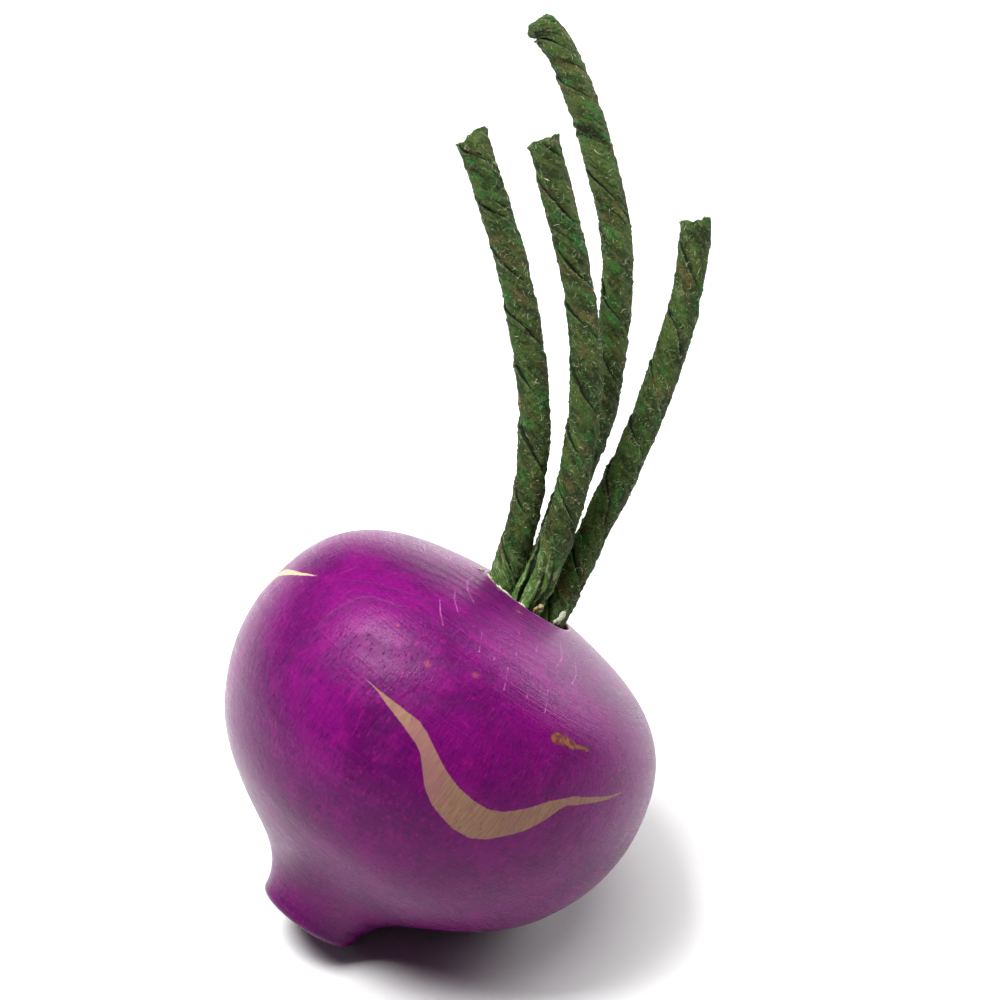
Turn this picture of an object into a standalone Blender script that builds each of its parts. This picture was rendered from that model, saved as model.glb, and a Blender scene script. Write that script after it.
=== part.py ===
"""Toy beetroot: a turned wooden root with four twisted paper-cord stalks.

The root is one solid of revolution with a short tail stub, a blind hole in its
crown and two small flats (belly and tail) that it rests on, tipped over to one
side.  Four lengths of stiff 4 mm paper cord stand in the hole, held by a pool
of glue at its bottom.  Metres, +Z up, origin at the middle of the bounding
box's bottom face.
"""
import math

import bmesh
import bpy
import numpy as np
from mathutils import Matrix, Vector

MM = 0.001

# ---------------------------------------------------------------- dimensions
EQUATOR_R = 27.5          # mm, largest radius of the turned root
# turned outline from the crown to the tail: (radius, height along the axis)
OUTLINE = [
    (10.1, 17.55), (14.9, 16.5), (20.0, 14.55), (24.3, 10.8), (26.65, 5.65),
    (EQUATOR_R, 0.0), (26.9, -5.7), (24.85, -11.05), (21.6, -15.7),
    (17.3, -19.25), (13.9, -21.45), (8.7, -25.1), (6.9, -28.0), (6.6, -29.2),
]
TAIL_END = -30.25         # mm, flat end of the tail stub
TAIL_EDGE_R = 1.0         # mm, rounding of the tail's edge

HOLE_R = 6.0              # mm, drilled hole in the crown
HOLE_EDGE = 0.25          # mm, break on the hole's edge
HOLE_MOUTH = 18.25        # mm, height of the hole's mouth on the axis
HOLE_FLOOR = 3.3          # mm, height of the drill's shoulder
HOLE_CONE = 1.6           # mm, depth of the drill's point below the shoulder

CORD_R = 2.0              # mm, twisted paper cord, 4 mm across
CORD_FOOT = 5.0           # mm, height on the axis where the cords end
GAP = 0.3                 # mm, clearance between touching pieces

GLUE_TOP = 8.0            # mm, top of the glue pool

BELLY_FLAT = 0.30         # mm, depth of the flat on the belly
TAIL_FLAT = 0.45          # mm, depth of the flat on the tail's edge

TIP_AZIMUTH = math.radians(32.8)     # the crown tips to +X and this far to +Y
FAN_LEAN = math.radians(35.0)        # the stalks' fan leans back to +Y

# where each cord sits in the hole: (across, towards the back), mm
SEAT = {
    "stalk_left": (-3.55, 0.0),
    "stalk_centre": (0.0, -2.45),
    "stalk_tall": (0.0, 2.45),
    "stalk_right": (3.55, 0.0),
}
# each stalk's route above the hole: (sideways, up the fan, in front of it),
# mm from the middle of the root
ROUTE = {
    "stalk_left": [(9.7, 24.7, 3.2), (10.9, 32.0, 4.2), (11.0, 39.4, 4.8),
                   (10.2, 46.6, 5.4), (8.8, 53.9, 6.0), (6.8, 61.2, 6.6),
                   (3.4, 71.3, 7.0)],
    "stalk_centre": [(13.7, 22.3, 5.9), (15.8, 29.6, 7.0), (17.0, 36.9, 8.0),
                     (17.2, 45.3, 9.0), (16.2, 53.7, 10.0), (14.7, 60.3, 10.9),
                     (12.1, 70.4, 12.0)],
    "stalk_tall": [(13.8, 23.4, -0.6), (16.1, 29.6, -1.0), (19.2, 37.7, -1.9),
                   (21.1, 49.4, -3.4), (21.4, 59.4, -4.6), (19.7, 68.0, -5.6),
                   (17.3, 76.4, -6.6), (12.5, 88.0, -7.6)],
    "stalk_right": [(17.2, 21.0, 1.9), (20.9, 28.4, 1.7), (24.4, 36.0, 1.4),
                    (27.4, 44.1, 1.2), (29.8, 52.3, 1.0), (31.0, 61.4, 1.0)],
}

SIDES = 56                # facets round the turned root


# ------------------------------------------------------------------- helpers
def smooth_curve(points, per_span):
    """Natural cubic spline through the points, per_span steps to each span."""
    p = np.array(points, dtype=float)
    n = len(p)
    step = np.linalg.norm(np.diff(p, axis=0), axis=1) ** 0.5
    matrix = np.eye(n)
    right = np.zeros_like(p)
    for i in range(1, n - 1):
        matrix[i, i - 1] = step[i - 1]
        matrix[i, i] = 2.0 * (step[i - 1] + step[i])
        matrix[i, i + 1] = step[i]
        right[i] = 6.0 * ((p[i + 1] - p[i]) / step[i] - (p[i] - p[i - 1]) / step[i - 1])
    bend = np.linalg.solve(matrix, right)
    out = []
    for i in range(n - 1):
        h = step[i]
        for k in range(per_span):
            u = h * k / per_span
            w = h - u
            out.append(bend[i] * w ** 3 / (6 * h) + bend[i + 1] * u ** 3 / (6 * h)
                       + (p[i] / h - bend[i] * h / 6) * w
                       + (p[i + 1] / h - bend[i + 1] * h / 6) * u)
    out.append(p[-1])
    return np.array(out)


def even_steps(points, spacing):
    """The same line with its points a constant distance apart."""
    p = np.array(points)
    run = np.concatenate(([0.0], np.cumsum(np.linalg.norm(np.diff(p, axis=0), axis=1))))
    count = max(2, int(round(run[-1] / spacing)) + 1)
    at = np.linspace(0.0, run[-1], count)
    return np.stack([np.interp(at, run, p[:, k]) for k in range(p.shape[1])], axis=1)


def material(name, colour, roughness):
    mat = bpy.data.materials.new(name)
    mat.use_nodes = True
    shader = mat.node_tree.nodes["Principled BSDF"]
    shader.inputs["Base Color"].default_value = (*colour, 1.0)
    shader.inputs["Roughness"].default_value = roughness
    shader.inputs["Metallic"].default_value = 0.0
    mat.diffuse_color = (*colour, 1.0)
    return mat


def turned_outline():
    """(radius, height) in mm down the outside, from the hole to the tail."""
    crown = [(HOLE_R + HOLE_EDGE, HOLE_MOUTH)]
    side = smooth_curve(crown + OUTLINE, 2)
    end_r = OUTLINE[-1][0]
    edge = []
    for k in range(1, 4):
        turn = math.radians(90.0) * k / 3
        edge.append((end_r - TAIL_EDGE_R * (1 - math.cos(turn)),
                     TAIL_END + TAIL_EDGE_R * (1 - math.sin(turn))))
    return [tuple(q) for q in side] + edge


def lathe(name, outline, sides):
    """Closed solid of revolution about Z from an open outline in mm."""
    bm = bmesh.new()
    ring = [bm.verts.new((r * MM, 0.0, z * MM)) for r, z in outline]
    edges = [bm.edges.new((a, b)) for a, b in zip(ring, ring[1:])]
    bmesh.ops.spin(bm, geom=ring + edges, cent=(0, 0, 0), axis=(0, 0, 1),
                   angle=2 * math.pi, steps=sides, use_merge=True)
    bmesh.ops.remove_doubles(bm, verts=bm.verts, dist=1e-7)
    bmesh.ops.recalc_face_normals(bm, faces=bm.faces)
    mesh = bpy.data.meshes.new(name)
    bm.to_mesh(mesh)
    bm.free()
    mesh.shade_smooth()
    mesh.set_sharp_from_angle(angle=math.radians(40))
    obj = bpy.data.objects.new(name, mesh)
    bpy.context.collection.objects.link(obj)
    return obj


def cutter(name, mesh_maker):
    mesh = bpy.data.meshes.new(name)
    bm = bmesh.new()
    mesh_maker(bm)
    bmesh.ops.recalc_face_normals(bm, faces=bm.faces)
    bm.to_mesh(mesh)
    bm.free()
    obj = bpy.data.objects.new(name, mesh)
    obj.hide_render = True
    obj.display_type = 'WIRE'
    bpy.context.collection.objects.link(obj)
    return obj


def cut(obj, tool):
    mod = obj.modifiers.new("cut_" + tool.name, 'BOOLEAN')
    mod.operation = 'DIFFERENCE'
    mod.solver = 'EXACT'
    mod.object = tool


def lowest(points, tilt):
    """Height under the middle of the outline's lowest point at this tilt."""
    return min(z * math.cos(tilt) - r * math.sin(tilt) for r, z in points)


def rest_tilt(outline):
    """Tilt of the axis from vertical with both flats in one level plane."""
    tail = [q for q in outline if q[1] < -24.0]
    belly = [q for q in outline if q[1] >= -24.0]

    def uneven(tilt):
        return (lowest(tail, tilt) + TAIL_FLAT) - (lowest(belly, tilt) + BELLY_FLAT)

    low, high = math.radians(20.0), math.radians(70.0)
    for _ in range(60):
        middle = 0.5 * (low + high)
        if uneven(middle) > 0.0:
            high = middle
        else:
            low = middle
    return 0.5 * (low + high)


# --------------------------------------------------------------------- model
def main():
    for old in list(bpy.data.objects):
        bpy.data.objects.remove(old, do_unlink=True)

    outline = turned_outline()
    # a fine outline finds the tilt, so the facets don't set it
    fine = [tuple(q) for q in smooth_curve(
        [(HOLE_R + HOLE_EDGE, HOLE_MOUTH)] + OUTLINE, 24)]
    fine += outline[-3:]
    tilt = rest_tilt(fine)
    rise = -(lowest([q for q in fine if q[1] >= -24.0], tilt) + BELLY_FLAT)

    # the turning axis in the standing frame, and the two directions across it
    axis = Vector((math.sin(tilt) * math.cos(TIP_AZIMUTH),
                   math.sin(tilt) * math.sin(TIP_AZIMUTH), math.cos(tilt)))
    front = Vector((0.0, -math.cos(FAN_LEAN), math.sin(FAN_LEAN)))
    up_fan = Vector((0.0, math.sin(FAN_LEAN), math.cos(FAN_LEAN)))
    across = axis.cross(front).normalized()
    behind = axis.cross(across).normalized()

    # ------------------------------------------------ stalk centre lines, mm
    lines = {}
    for name, (i, j) in SEAT.items():
        offset = across * i + behind * j
        foot = axis * CORD_FOOT + offset
        mouth = axis * (HOLE_MOUTH - 1.0) + offset
        straight = even_steps([tuple(foot), tuple(mouth)], 4.0)
        free = [tuple(axis * (HOLE_MOUTH - 1.8) + offset), tuple(mouth)]
        for side, up, out in ROUTE[name]:
            free.append(tuple(Vector((side, 0.0, 0.0)) + up_fan * up + front * out))
        free = smooth_curve(free, 12)[12:]
        lines[name] = np.vstack((straight[:-1], even_steps(free, 2.6)))

    # ---------------------------------------------------------- placement
    # the whole toy is centred over the origin by its bounding box
    low = np.array([1e9, 1e9])
    high = -low
    turned = Matrix((across, behind, axis)).transposed()
    for r, z in outline:
        for k in range(SIDES):
            angle = 2 * math.pi * k / SIDES
            q = turned @ Vector((r * math.cos(angle), r * math.sin(angle), z))
            low = np.minimum(low, (q.x, q.y))
            high = np.maximum(high, (q.x, q.y))
    for points in lines.values():
        low = np.minimum(low, points[:, :2].min(axis=0) - 0.9 * CORD_R)
        high = np.maximum(high, points[:, :2].max(axis=0) + 0.9 * CORD_R)
    centre = 0.5 * (low + high)
    toy = bpy.data.objects.new("toy", None)
    toy.location = (-centre[0] * MM, -centre[1] * MM, rise * MM)
    bpy.context.collection.objects.link(toy)

    # ---------------------------------------------------------------- root
    hole = [(0.0, HOLE_FLOOR - HOLE_CONE), (HOLE_R, HOLE_FLOOR),
            (HOLE_R, HOLE_MOUTH - HOLE_EDGE)]
    tail = [(0.0, TAIL_END)]
    body = lathe("body", hole + outline + tail, SIDES)
    body.parent = toy
    body.rotation_mode = 'QUATERNION'
    body.rotation_quaternion = turned.to_quaternion()
    body.data.materials.append(material("stained_wood", (0.17, 0.012, 0.20), 0.38))

    def floor_block(bm):
        bmesh.ops.create_cube(bm, size=1.0)
        bmesh.ops.scale(bm, vec=(0.12, 0.12, 0.02), verts=bm.verts)
        bmesh.ops.translate(bm, vec=(0.0, 0.0, -0.01), verts=bm.verts)

    floor = cutter("rest_plane", floor_block)
    cut(body, floor)

    # -------------------------------------------------------------- stalks
    paper = material("green_paper", (0.045, 0.10, 0.03), 0.85)
    for name, points in lines.items():
        curve = bpy.data.curves.new(name, 'CURVE')
        curve.dimensions = '3D'
        curve.fill_mode = 'FULL'
        curve.bevel_depth = CORD_R * MM
        curve.bevel_resolution = 4
        curve.use_fill_caps = True
        spline = curve.splines.new('POLY')
        spline.points.add(len(points) - 1)
        for target, q in zip(spline.points, points):
            target.co = (q[0] * MM, q[1] * MM, q[2] * MM, 1.0)
        spline.use_smooth = True
        stalk = bpy.data.objects.new(name, curve)
        stalk.parent = toy
        curve.materials.append(paper)
        bpy.context.collection.objects.link(stalk)

    # ---------------------------------------------------------------- glue
    pool_r = HOLE_R - GAP
    pool_floor = HOLE_FLOOR + GAP
    pool = [(0.0, pool_floor), (pool_r, pool_floor), (pool_r, GLUE_TOP - 0.4),
            (pool_r - 0.4, GLUE_TOP), (0.0, GLUE_TOP)]
    glue = lathe("glue_plug", pool, 32)
    glue.parent = toy
    glue.rotation_mode = 'QUATERNION'
    glue.rotation_quaternion = turned.to_quaternion()
    glue.data.materials.append(material("dried_glue", (0.62, 0.57, 0.42), 0.45))
    for name, (i, j) in SEAT.items():
        def sleeve(bm, i=i, j=j):
            length = GLUE_TOP - CORD_FOOT + 4.0
            bmesh.ops.create_cone(bm, cap_ends=True, segments=16,
                                  radius1=(CORD_R + GAP) * MM,
                                  radius2=(CORD_R + GAP) * MM, depth=length * MM)
            bmesh.ops.translate(bm, verts=bm.verts, vec=(
                i * MM, j * MM, (CORD_FOOT - GAP + length / 2) * MM))

        tool = cutter("sleeve_" + name, sleeve)
        tool.parent = toy
        tool.rotation_mode = 'QUATERNION'
        tool.rotation_quaternion = turned.to_quaternion()
        cut(glue, tool)


main()
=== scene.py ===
import math

import bpy
import numpy as np
from mathutils import Matrix, Vector


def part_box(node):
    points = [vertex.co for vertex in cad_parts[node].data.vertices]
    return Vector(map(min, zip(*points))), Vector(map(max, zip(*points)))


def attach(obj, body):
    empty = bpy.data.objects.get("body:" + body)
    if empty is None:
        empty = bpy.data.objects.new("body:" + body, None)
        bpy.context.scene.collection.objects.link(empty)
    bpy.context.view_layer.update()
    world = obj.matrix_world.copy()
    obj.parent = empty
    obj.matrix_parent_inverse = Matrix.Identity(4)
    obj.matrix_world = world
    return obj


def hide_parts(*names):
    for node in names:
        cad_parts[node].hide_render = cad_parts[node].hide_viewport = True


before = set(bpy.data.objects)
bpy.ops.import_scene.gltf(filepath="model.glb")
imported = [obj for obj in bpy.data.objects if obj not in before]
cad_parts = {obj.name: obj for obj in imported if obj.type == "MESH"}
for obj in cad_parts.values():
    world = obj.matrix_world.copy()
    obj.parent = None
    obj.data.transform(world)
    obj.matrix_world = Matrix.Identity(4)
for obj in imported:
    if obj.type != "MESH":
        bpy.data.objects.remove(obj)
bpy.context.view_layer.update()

MM = 0.001

# ---------------------------------------------------------------------------
# the frame: the root's middle and turning axis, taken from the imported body
# ---------------------------------------------------------------------------
BODY_LOW, BODY_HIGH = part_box("body")
CENTRE = Vector(BODY_LOW) * 1000.0 + Vector((26.912, 27.312, 25.9))     # mm
TILT = math.radians(42.408)
TIP_AZIMUTH = math.radians(32.8)
FAN_LEAN = math.radians(35.0)
AXIS = Vector((math.sin(TILT) * math.cos(TIP_AZIMUTH),
               math.sin(TILT) * math.sin(TIP_AZIMUTH), math.cos(TILT)))
FRONT = Vector((0.0, -math.cos(FAN_LEAN), math.sin(FAN_LEAN)))
UP_FAN = Vector((0.0, math.sin(FAN_LEAN), math.cos(FAN_LEAN)))
ACROSS = AXIS.cross(FRONT).normalized()
BEHIND = AXIS.cross(ACROSS).normalized()
TURNED = Matrix((ACROSS, BEHIND, AXIS)).transposed()

HOLE_R = 6.0
HOLE_MOUTH = 18.25
HOLE_FLOOR = 3.3
EQUATOR_R = 27.5
OUTLINE = [
    (10.1, 17.55), (14.9, 16.5), (20.0, 14.55), (24.3, 10.8), (26.65, 5.65),
    (EQUATOR_R, 0.0), (26.9, -5.7), (24.85, -11.05), (21.6, -15.7),
    (17.3, -19.25), (13.9, -21.45), (8.7, -25.1), (6.9, -28.0), (6.6, -29.2),
]
TAIL_END = -30.25
CORD_FOOT = 5.0
SEAT = {
    "stalk_left": (-3.55, 0.0),
    "stalk_centre": (0.0, -2.45),
    "stalk_tall": (0.0, 2.45),
    "stalk_right": (3.55, 0.0),
}
ROUTE = {
    "stalk_left": [(9.7, 24.7, 3.2), (10.9, 32.0, 4.2), (11.0, 39.4, 4.8),
                   (10.2, 46.6, 5.4), (8.8, 53.9, 6.0), (6.8, 61.2, 6.6),
                   (3.4, 71.3, 7.0)],
    "stalk_centre": [(13.7, 22.3, 5.9), (15.8, 29.6, 7.0), (17.0, 36.9, 8.0),
                     (17.2, 45.3, 9.0), (16.2, 53.7, 10.0), (14.7, 60.3, 10.9),
                     (12.1, 70.4, 12.0)],
    "stalk_tall": [(13.8, 23.4, -0.6), (16.1, 29.6, -1.0), (19.2, 37.7, -1.9),
                   (21.1, 49.4, -3.4), (21.4, 59.4, -4.6), (19.7, 68.0, -5.6),
                   (17.3, 76.4, -6.6), (12.5, 88.0, -7.6)],
    "stalk_right": [(17.2, 21.0, 1.9), (20.9, 28.4, 1.7), (24.4, 36.0, 1.4),
                    (27.4, 44.1, 1.2), (29.8, 52.3, 1.0), (31.0, 61.4, 1.0)],
}


# ---------------------------------------------------------------------------
# geometry helpers
# ---------------------------------------------------------------------------
def smooth_curve(points, per_span):
    p = np.array(points, dtype=float)
    n = len(p)
    step = np.linalg.norm(np.diff(p, axis=0), axis=1) ** 0.5
    matrix = np.eye(n)
    right = np.zeros_like(p)
    for i in range(1, n - 1):
        matrix[i, i - 1] = step[i - 1]
        matrix[i, i] = 2.0 * (step[i - 1] + step[i])
        matrix[i, i + 1] = step[i]
        right[i] = 6.0 * ((p[i + 1] - p[i]) / step[i] - (p[i] - p[i - 1]) / step[i - 1])
    bend = np.linalg.solve(matrix, right)
    out = []
    for i in range(n - 1):
        h = step[i]
        for k in range(per_span):
            u = h * k / per_span
            w = h - u
            out.append(bend[i] * w ** 3 / (6 * h) + bend[i + 1] * u ** 3 / (6 * h)
                       + (p[i] / h - bend[i] * h / 6) * w
                       + (p[i + 1] / h - bend[i + 1] * h / 6) * u)
    out.append(p[-1])
    return np.array(out)


def even_steps(points, spacing):
    p = np.array(points)
    run = np.concatenate(([0.0], np.cumsum(np.linalg.norm(np.diff(p, axis=0), axis=1))))
    count = max(2, int(round(run[-1] / spacing)) + 1)
    at = np.linspace(0.0, run[-1], count)
    return np.stack([np.interp(at, run, p[:, k]) for k in range(p.shape[1])], axis=1)


def blur_line(p, times):
    for _ in range(times):
        q = p.copy()
        q[1:-1] = 0.25 * p[:-2] + 0.5 * p[1:-1] + 0.25 * p[2:]
        p = q
    return p


def noise2(x, y, seed, wrap=128):
    """Smooth value noise in -1..1, repeating every `wrap` steps along x."""
    table = np.random.RandomState(seed).rand(128, 128) * 2.0 - 1.0
    x = np.asarray(x, float) + np.zeros_like(np.asarray(y, float))
    y = np.asarray(y, float) + np.zeros_like(x)
    xi = np.floor(x).astype(int)
    yi = np.floor(y).astype(int)
    fx = x - xi
    fy = y - yi
    fx = fx * fx * (3 - 2 * fx)
    fy = fy * fy * (3 - 2 * fy)
    a = table[xi % wrap, yi % 128]
    b = table[(xi + 1) % wrap, yi % 128]
    c = table[xi % wrap, (yi + 1) % 128]
    d = table[(xi + 1) % wrap, (yi + 1) % 128]
    return (a * (1 - fx) + b * fx) * (1 - fy) + (c * (1 - fx) + d * fx) * fy


def smoothstep(lo, hi, x):
    t = np.clip((np.asarray(x, float) - lo) / (hi - lo), 0.0, 1.0)
    return t * t * (3 - 2 * t)


def new_mesh_object(name, verts, faces, smooth=True, sharp=None):
    mesh = bpy.data.meshes.new(name)
    mesh.from_pydata([tuple(v) for v in np.asarray(verts).tolist()], [], faces)
    mesh.validate()
    if smooth:
        mesh.shade_smooth()
        if sharp is not None:
            mesh.set_sharp_from_angle(angle=math.radians(sharp))
    obj = bpy.data.objects.new(name, mesh)
    bpy.context.scene.collection.objects.link(obj)
    return obj


def point_attribute(obj, name, values):
    layer = obj.data.attributes.new(name, 'FLOAT', 'POINT')
    layer.data.foreach_set("value", np.asarray(values, np.float32))


# ---------------------------------------------------------------------------
# shader helper: small functions that add nodes and return their sockets
# ---------------------------------------------------------------------------
class Graph:
    def __init__(self, name):
        self.mat = bpy.data.materials.new(name)
        self.mat.use_nodes = True
        self.tree = self.mat.node_tree
        self.tree.nodes.clear()
        self.out = self.tree.nodes.new("ShaderNodeOutputMaterial")
        self.bsdf = self.tree.nodes.new("ShaderNodeBsdfPrincipled")
        self.tree.links.new(self.bsdf.outputs[0], self.out.inputs[0])

    def put(self, socket, value):
        if isinstance(value, bpy.types.NodeSocket):
            self.tree.links.new(value, socket)
        elif value is not None:
            socket.default_value = value

    def math(self, op, a, b=None, c=None, clamp=False):
        node = self.tree.nodes.new("ShaderNodeMath")
        node.operation = op
        node.use_clamp = clamp
        self.put(node.inputs[0], a)
        self.put(node.inputs[1], b)
        self.put(node.inputs[2], c)
        return node.outputs[0]

    def add(self, a, b): return self.math('ADD', a, b)
    def sub(self, a, b): return self.math('SUBTRACT', a, b)
    def mul(self, a, b): return self.math('MULTIPLY', a, b)

    def vec(self, op, a, b=None, scale=None):
        node = self.tree.nodes.new("ShaderNodeVectorMath")
        node.operation = op
        self.put(node.inputs[0], a)
        if b is not None:
            self.put(node.inputs[1], b)
        if scale is not None:
            self.put(node.inputs["Scale"], scale)
        return node.outputs["Value"] if op in ('LENGTH', 'DOT_PRODUCT', 'DISTANCE') else node.outputs[0]

    def xyz(self, v):
        node = self.tree.nodes.new("ShaderNodeSeparateXYZ")
        self.put(node.inputs[0], v)
        return node.outputs[0], node.outputs[1], node.outputs[2]

    def combine(self, x, y, z):
        node = self.tree.nodes.new("ShaderNodeCombineXYZ")
        for s, v in zip(node.inputs, (x, y, z)):
            self.put(s, v)
        return node.outputs[0]

    def ramp(self, value, lo, hi, a=0.0, b=1.0, kind='SMOOTHSTEP'):
        node = self.tree.nodes.new("ShaderNodeMapRange")
        node.interpolation_type = kind
        self.put(node.inputs[0], value)
        for i, v in enumerate((lo, hi, a, b)):
            self.put(node.inputs[i + 1], v)
        return node.outputs[0]

    def noise(self, v, scale, detail=2.0, rough=0.5, distort=0.0, colour=False):
        node = self.tree.nodes.new("ShaderNodeTexNoise")
        self.put(node.inputs["Vector"], v)
        node.inputs["Scale"].default_value = scale
        node.inputs["Detail"].default_value = detail
        node.inputs["Roughness"].default_value = rough
        node.inputs["Distortion"].default_value = distort
        return node.outputs["Color" if colour else "Fac"]

    def voronoi(self, v, scale, random=1.0, dims='3D', feature='F1'):
        node = self.tree.nodes.new("ShaderNodeTexVoronoi")
        node.voronoi_dimensions = dims
        node.feature = feature
        self.put(node.inputs["Vector"], v)
        node.inputs["Scale"].default_value = scale
        node.inputs["Randomness"].default_value = random
        return node

    def mix(self, fac, a, b, blend='MIX'):
        node = self.tree.nodes.new("ShaderNodeMix")
        node.data_type = 'RGBA'
        node.blend_type = blend
        node.clamp_factor = True
        self.put(node.inputs[0], fac)
        self.put(node.inputs[6], a if isinstance(a, bpy.types.NodeSocket) else (*a, 1.0))
        self.put(node.inputs[7], b if isinstance(b, bpy.types.NodeSocket) else (*b, 1.0))
        return node.outputs[2]

    def attribute(self, name):
        node = self.tree.nodes.new("ShaderNodeAttribute")
        node.attribute_name = name
        return node.outputs["Fac"]

    def root_mm(self):
        """Position in the root's own frame, mm: across, behind, along the axis."""
        p = self.vec('SUBTRACT', self.object_mm(), tuple(CENTRE))
        return self.combine(self.vec('DOT_PRODUCT', p, tuple(ACROSS)),
                            self.vec('DOT_PRODUCT', p, tuple(BEHIND)),
                            self.vec('DOT_PRODUCT', p, tuple(AXIS)))

    def object_mm(self):
        node = self.tree.nodes.new("ShaderNodeTexCoord")
        return self.vec('SCALE', node.outputs["Object"], scale=1000.0)

    def curve(self, value, points):
        """Piecewise straight curve through (x, y) points, both in 0..1."""
        node = self.tree.nodes.new("ShaderNodeFloatCurve")
        line = node.mapping.curves[0]
        node.mapping.use_clip = False
        while len(line.points) > 2:
            line.points.remove(line.points[1])
        line.points[0].location = points[0]
        line.points[1].location = points[-1]
        for q in points[1:-1]:
            line.points.new(*q)
        for q in line.points:
            q.handle_type = 'VECTOR'
        node.mapping.update()
        self.put(node.inputs["Value"], value)
        return node.outputs[0]

    def segment(self, p, a, b):
        """Distance of p to the straight run a-b, with a and b as 3-tuples."""
        a = Vector(a)
        ab = Vector(b) - a
        rel = self.vec('SUBTRACT', p, tuple(a))
        t = self.mul(self.vec('DOT_PRODUCT', rel, tuple(ab)), 1.0 / max(ab.length_squared, 1e-9))
        t = self.math('MAXIMUM', self.math('MINIMUM', t, 1.0), 0.0)
        return self.vec('LENGTH', self.vec('SUBTRACT', rel, self.vec('SCALE', tuple(ab), scale=t)))

    def bump(self, height, distance, strength=1.0, normal=None):
        node = self.tree.nodes.new("ShaderNodeBump")
        node.inputs["Strength"].default_value = strength
        node.inputs["Distance"].default_value = distance
        self.put(node.inputs["Height"], height)
        if normal is not None:
            self.put(node.inputs["Normal"], normal)
        return node.outputs[0]


# ---------------------------------------------------------------------------
# the turned root
# ---------------------------------------------------------------------------
def crown_profile():
    """Height of the outside for a radius, and the fine outline itself."""
    return smooth_curve([(HOLE_R + 0.25, HOLE_MOUTH)] + OUTLINE, 24)


def surface_point(angle_deg, height):
    """A point on the root's outside, in its own frame, mm."""
    fine = crown_profile()
    radius = np.interp(-height, -fine[:, 1], fine[:, 0])
    a = math.radians(angle_deg)
    return (radius * math.cos(a), radius * math.sin(a), height)


def world_points(points):
    """From the root's own frame (across, behind, axis) to the shared one, mm."""
    return np.asarray(points, float) @ np.array(TURNED).T + np.array(CENTRE)


def make_root():
    fine = crown_profile()
    side = even_steps(fine, 0.40)
    end_r = OUTLINE[-1][0]
    edge = []
    for k in range(1, 9):
        turn = math.radians(90.0) * k / 8
        edge.append((end_r - 1.0 * (1 - math.cos(turn)), TAIL_END + 1.0 * (1 - math.sin(turn))))
    tail = [(r, TAIL_END) for r in (4.6, 3.6, 2.6, 1.6, 0.7)]
    wall = [(HOLE_R, z) for z in np.linspace(HOLE_FLOOR, HOLE_MOUTH - 0.25, 22)]
    lip = []
    for k in range(1, 6):
        turn = math.radians(90.0) * k / 6
        lip.append((HOLE_R + 0.25 * (1 - math.cos(turn)), HOLE_MOUTH - 0.25 * (1 - math.sin(turn))))
    cone = [(r, HOLE_FLOOR - 1.6 * (1 - r / HOLE_R)) for r in (1.5, 3.0, 4.5)]
    rings = np.array(cone + wall + lip + [tuple(q) for q in side] + edge + tail)
    cols = 400
    ang = np.linspace(0, 2 * math.pi, cols, endpoint=False)
    r = rings[:, 0][:, None] + np.zeros(cols)[None, :]
    z = rings[:, 1][:, None] + np.zeros(cols)[None, :]
    a = ang[None, :] + np.zeros(len(rings))[:, None]
    # hand sanding leaves the outside a few hundredths out of true
    outside = smoothstep(6.6, 9.0, r)
    r = r + outside * (0.030 * noise2(a * 6 / (2 * math.pi), z * 0.14 + 9, 3, wrap=6)
                       + 0.016 * noise2(z * 0.9, z * 0 + 2.2, 4)
                       + 0.010 * noise2(a * 20 / (2 * math.pi), z * 0.4 + 5, 5, wrap=20))
    # the hole's edge is a little chipped and worn
    worn = np.exp(-((r - HOLE_R - 0.15) / 0.35) ** 2) * (z > HOLE_MOUTH - 1.0)
    z = z - worn * 0.10 * np.clip(noise2(a * 26 / (2 * math.pi), z * 0 + 1.5, 6, wrap=26), 0, 1)
    r = r + worn * 0.05 * noise2(a * 40 / (2 * math.pi), z * 0 + 3.5, 7, wrap=40)
    local = np.stack([r * np.cos(a), r * np.sin(a), z], axis=2)
    first = np.array([[[0.0, 0.0, HOLE_FLOOR - 1.6]]])
    last = np.array([[[0.0, 0.0, TAIL_END]]])
    n = len(rings)
    pts = np.vstack((first.reshape(-1, 3), local.reshape(-1, 3), last.reshape(-1, 3)))
    # flat where it lies on the surface
    rot = np.array(TURNED)
    world = pts @ rot.T + np.array(CENTRE)
    below = world[:, 2] < 0.0
    world[below, 2] = 0.0
    pts = (world - np.array(CENTRE)) @ rot
    faces = []
    for i in range(n - 1):
        base = 1 + i * cols
        nxt = base + cols
        for j in range(cols):
            k = (j + 1) % cols
            faces.append((base + j, base + k, nxt + k, nxt + j))
    for j in range(cols):
        k = (j + 1) % cols
        faces.append((0, 1 + k, 1 + j))
        end = 1 + (n - 1) * cols
        faces.append((len(pts) - 1, end + j, end + k))
    # this winding points into the wood along the outside, so it is turned over
    faces = [tuple(reversed(f)) for f in faces]
    obj = new_mesh_object("turned_root", world_points(pts) * MM, faces, sharp=50)
    run = np.zeros(len(pts))
    start = 1 + (len(cone) + len(wall) + len(lip)) * cols
    step = np.concatenate(([0.0], np.cumsum(np.hypot(*np.diff(side, axis=0).T))))
    run[start:start + len(side) * cols] = np.repeat(step, cols)
    run[start + len(side) * cols:] = step[-1] + 1.0
    point_attribute(obj, "run", run)
    return obj


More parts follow.
